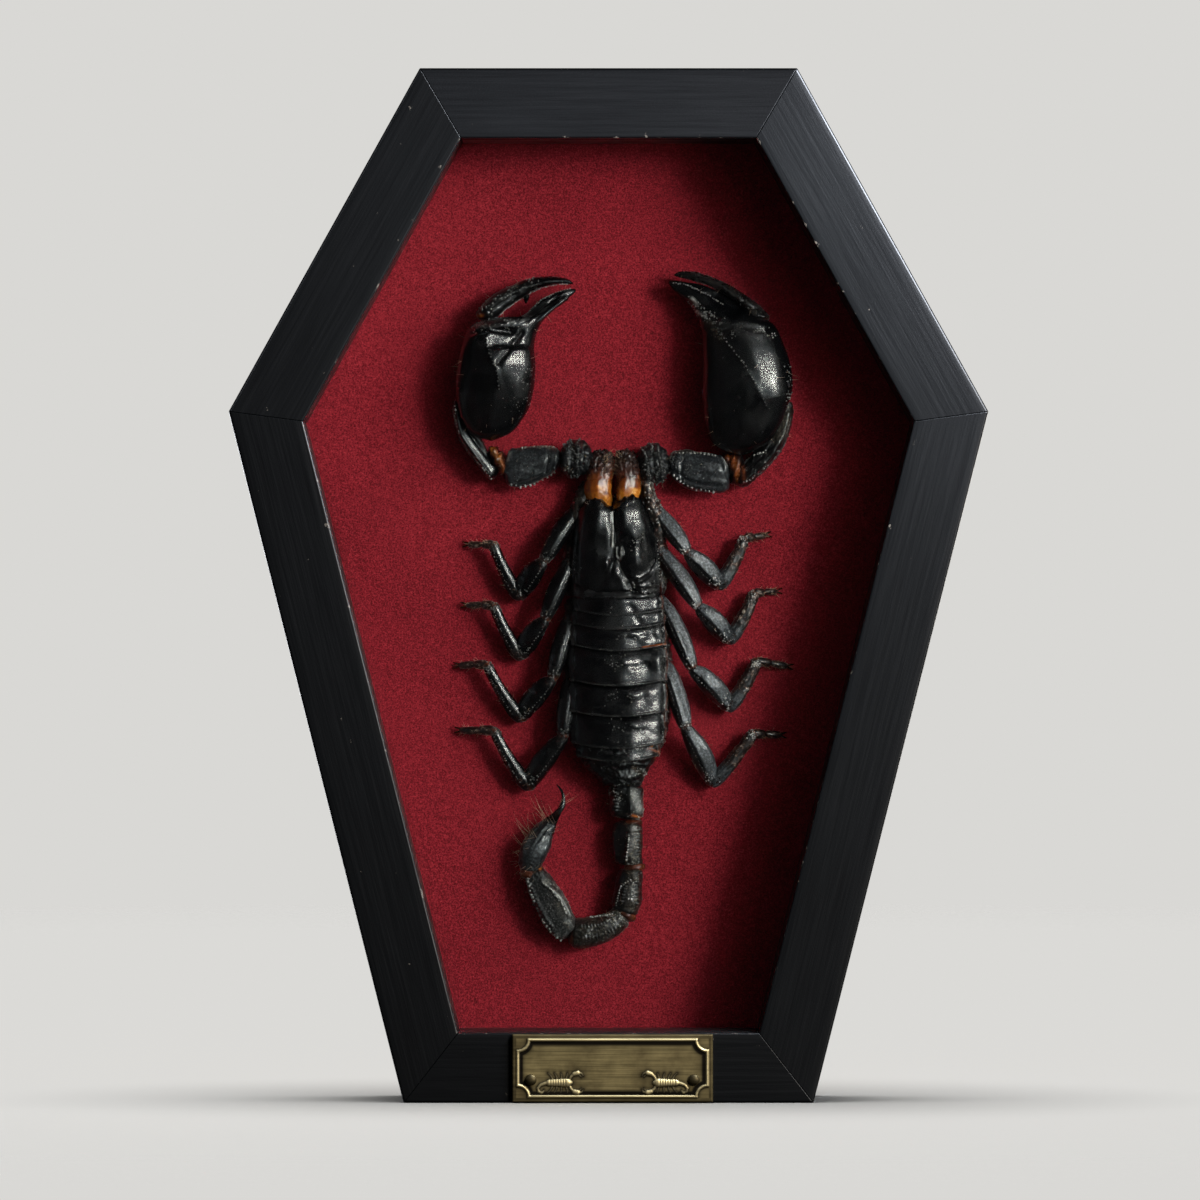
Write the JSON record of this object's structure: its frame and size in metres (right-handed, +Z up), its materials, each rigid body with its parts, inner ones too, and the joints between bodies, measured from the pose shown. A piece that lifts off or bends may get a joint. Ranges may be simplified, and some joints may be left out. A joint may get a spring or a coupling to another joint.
{
  "type": "framed scorpion specimen",
  "caption": "Coffin-shaped black wooden shadow box with a glass front, a dried black scorpion on red felt, and a blank brass plate on the bottom rail.",
  "frame": {"origin": "middle of the box's underside: centred in x and in the overall depth, at the height that the bottom rail stands on", "axes": "+X right, +Y back, +Z up, seen from the front; the window faces -Y"},
  "size_m": [0.152, 0.0327, 0.207],
  "materials": {
    "black_painted_wood": "satin black paint over wood",
    "clear_glass": "clear polished glass",
    "red_felt": "short-napped deep red felt",
    "brown_board": "raw brown fibreboard",
    "old_brass": "aged satin brass",
    "steel": "bright zinc-plated steel",
    "black_cuticle": "glossy black scorpion cuticle"
  },
  "bodies": {
    "root": {"rail_lower_right": "black_painted_wood", "rail_upper_right": "black_painted_wood", "rail_top": "black_painted_wood", "rail_upper_left": "black_painted_wood", "rail_lower_left": "black_painted_wood", "rail_bottom": "black_painted_wood", "glass_pane": "clear_glass", "felt_panel": "red_felt", "back_board": "brown_board", "nameplate": "old_brass", "plate_pin_left": "old_brass", "plate_pin_right": "old_brass", "hanger": "steel", "hanger_nail_left": "steel", "hanger_nail_right": "steel", "back_screw_1": "steel", "back_screw_2": "steel", "back_screw_3": "steel", "back_screw_4": "steel", "back_screw_5": "steel", "back_screw_6": "steel", "scorpion_body": "black_cuticle", "scorpion_tail": "black_cuticle", "claw_arm_left": "black_cuticle", "claw_arm_right": "black_cuticle", "leg_left_1": "black_cuticle", "leg_left_2": "black_cuticle", "leg_left_3": "black_cuticle", "leg_left_4": "black_cuticle", "leg_right_1": "black_cuticle", "leg_right_2": "black_cuticle", "leg_right_3": "black_cuticle", "leg_right_4": "black_cuticle"}
  },
  "joints": []
}
